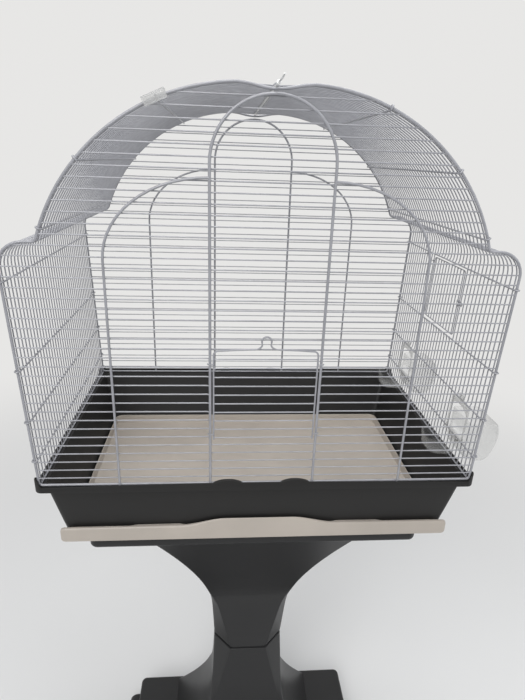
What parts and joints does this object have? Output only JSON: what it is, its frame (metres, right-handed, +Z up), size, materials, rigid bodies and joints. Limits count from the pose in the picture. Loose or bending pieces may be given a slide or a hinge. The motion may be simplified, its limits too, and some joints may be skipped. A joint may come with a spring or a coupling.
{
  "type": "bird cage with stand",
  "caption": "Domed wire bird cage on a plastic tub with a slide-out tray, doors and feeders, on a moulded pedestal with swivelling casters.",
  "frame": {"origin": "on the floor, under the middle of the whole object's box", "axes": "+Z up from the floor to the ridge of the roof, +X to the right towards the feeders and the side door, +Y away from the front door"},
  "size_m": [0.7693, 0.5474, 1.6213],
  "materials": {
    "enamelled_wire": "smooth enamel",
    "rod_enamel": "smooth white enamel",
    "tub_plastic": "fine-grained charcoal plastic",
    "stand_plastic": "satin charcoal plastic",
    "tray_plastic": "satin beige plastic",
    "clear_plastic": "clear, slightly milky",
    "latch_plastic": "white plastic",
    "caster_plastic": "black plastic",
    "caster_tread": "black rubber",
    "zinc_steel": "zinc plated"
  },
  "bodies": {
    "cage_and_stand": {"front_panel": "enamelled_wire", "back_panel": "enamelled_wire", "left_side_panel": "enamelled_wire", "right_side_panel": "enamelled_wire", "roof_clip": "clear_plastic", "near_feeder_holder": "clear_plastic", "rear_feeder_holder": "clear_plastic", "base_tub": "tub_plastic", "upper_stand_half": "stand_plastic", "lower_stand_half": "stand_plastic", "column_joiner": "tub_plastic", "front_joiner_screw": "zinc_steel", "rear_joiner_screw": "zinc_steel", "left_joiner_screw": "zinc_steel", "right_joiner_screw": "zinc_steel"},
    "roof_rod": {"roof_joining_rod": "rod_enamel"},
    "front_door": {"front_door": "enamelled_wire"},
    "side_door": {"side_door": "enamelled_wire"},
    "side_door_latch": {"side_door_latch": "latch_plastic"},
    "near_feeder": {"near_feeder_hopper": "clear_plastic"},
    "rear_feeder": {"rear_feeder_hopper": "clear_plastic"},
    "tray": {"slide_out_tray": "tray_plastic"},
    "front_left_swivel": {"front_left_caster_housing": "caster_plastic", "front_left_caster_axle": "zinc_steel"},
    "front_left_wheel": {"front_left_caster_wheel": "caster_tread"},
    "front_right_swivel": {"front_right_caster_housing": "caster_plastic", "front_right_caster_axle": "zinc_steel"},
    "front_right_wheel": {"front_right_caster_wheel": "caster_tread"},
    "rear_left_swivel": {"rear_left_caster_housing": "caster_plastic", "rear_left_caster_axle": "zinc_steel"},
    "rear_left_wheel": {"rear_left_caster_wheel": "caster_tread"},
    "rear_right_swivel": {"rear_right_caster_housing": "caster_plastic", "rear_right_caster_axle": "zinc_steel"},
    "rear_right_wheel": {"rear_right_caster_wheel": "caster_tread"}
  },
  "joints": [
    {"name": "front_door_lift", "type": "slide", "parent": "cage_and_stand", "child": "front_door", "axis": [0, 0, 1], "range_m": [0, 0.142]},
    {"name": "side_door_swing", "type": "hinge", "parent": "cage_and_stand", "child": "side_door", "pos_m": [0.3157, 0.1087, 1.05], "axis": [0.0389, 0, 0.9992], "range_deg": [0, 150]},
    {"name": "side_door_latch_turn", "type": "hinge", "parent": "side_door", "child": "side_door_latch", "pos_m": [0.32565, -0.0263, 1.30581], "axis": [0.9992, 0, -0.0389], "range_deg": [0, 90]},
    {"name": "near_feeder_lift", "type": "slide", "parent": "cage_and_stand", "child": "near_feeder", "axis": [0.0389, 0, 0.9992], "range_m": [0, 0.029]},
    {"name": "rear_feeder_lift", "type": "slide", "parent": "cage_and_stand", "child": "rear_feeder", "axis": [0.0389, 0, 0.9992], "range_m": [0, 0.029]},
    {"name": "roof_rod_pull", "type": "slide", "parent": "cage_and_stand", "child": "roof_rod", "axis": [0, -1, 0], "range_m": [0, 0.45]},
    {"name": "tray_slide", "type": "slide", "parent": "cage_and_stand", "child": "tray", "axis": [0, -1, 0], "range_m": [0, 0.36]},
    {"name": "front_left_caster_swivel", "type": "hinge", "parent": "cage_and_stand", "child": "front_left_swivel", "pos_m": [-0.3013, -0.1133, 0], "axis": [0, 0, 1], "continuous": true},
    {"name": "front_left_caster_roll", "type": "hinge", "parent": "front_left_swivel", "child": "front_left_wheel", "pos_m": [-0.3273, -0.1133, 0.021], "axis": [0, 1, 0], "continuous": true},
    {"name": "front_right_caster_swivel", "type": "hinge", "parent": "cage_and_stand", "child": "front_right_swivel", "pos_m": [0.2507, -0.1133, 0], "axis": [0, 0, 1], "continuous": true},
    {"name": "front_right_caster_roll", "type": "hinge", "parent": "front_right_swivel", "child": "front_right_wheel", "pos_m": [0.2247, -0.1133, 0.021], "axis": [0, 1, 0], "continuous": true},
    {"name": "rear_left_caster_swivel", "type": "hinge", "parent": "cage_and_stand", "child": "rear_left_swivel", "pos_m": [-0.3013, 0.1867, 0], "axis": [0, 0, 1], "continuous": true},
    {"name": "rear_left_caster_roll", "type": "hinge", "parent": "rear_left_swivel", "child": "rear_left_wheel", "pos_m": [-0.3273, 0.1867, 0.021], "axis": [0, 1, 0], "continuous": true},
    {"name": "rear_right_caster_swivel", "type": "hinge", "parent": "cage_and_stand", "child": "rear_right_swivel", "pos_m": [0.2507, 0.1867, 0], "axis": [0, 0, 1], "continuous": true},
    {"name": "rear_right_caster_roll", "type": "hinge", "parent": "rear_right_swivel", "child": "rear_right_wheel", "pos_m": [0.2247, 0.1867, 0.021], "axis": [0, 1, 0], "continuous": true}
  ]
}
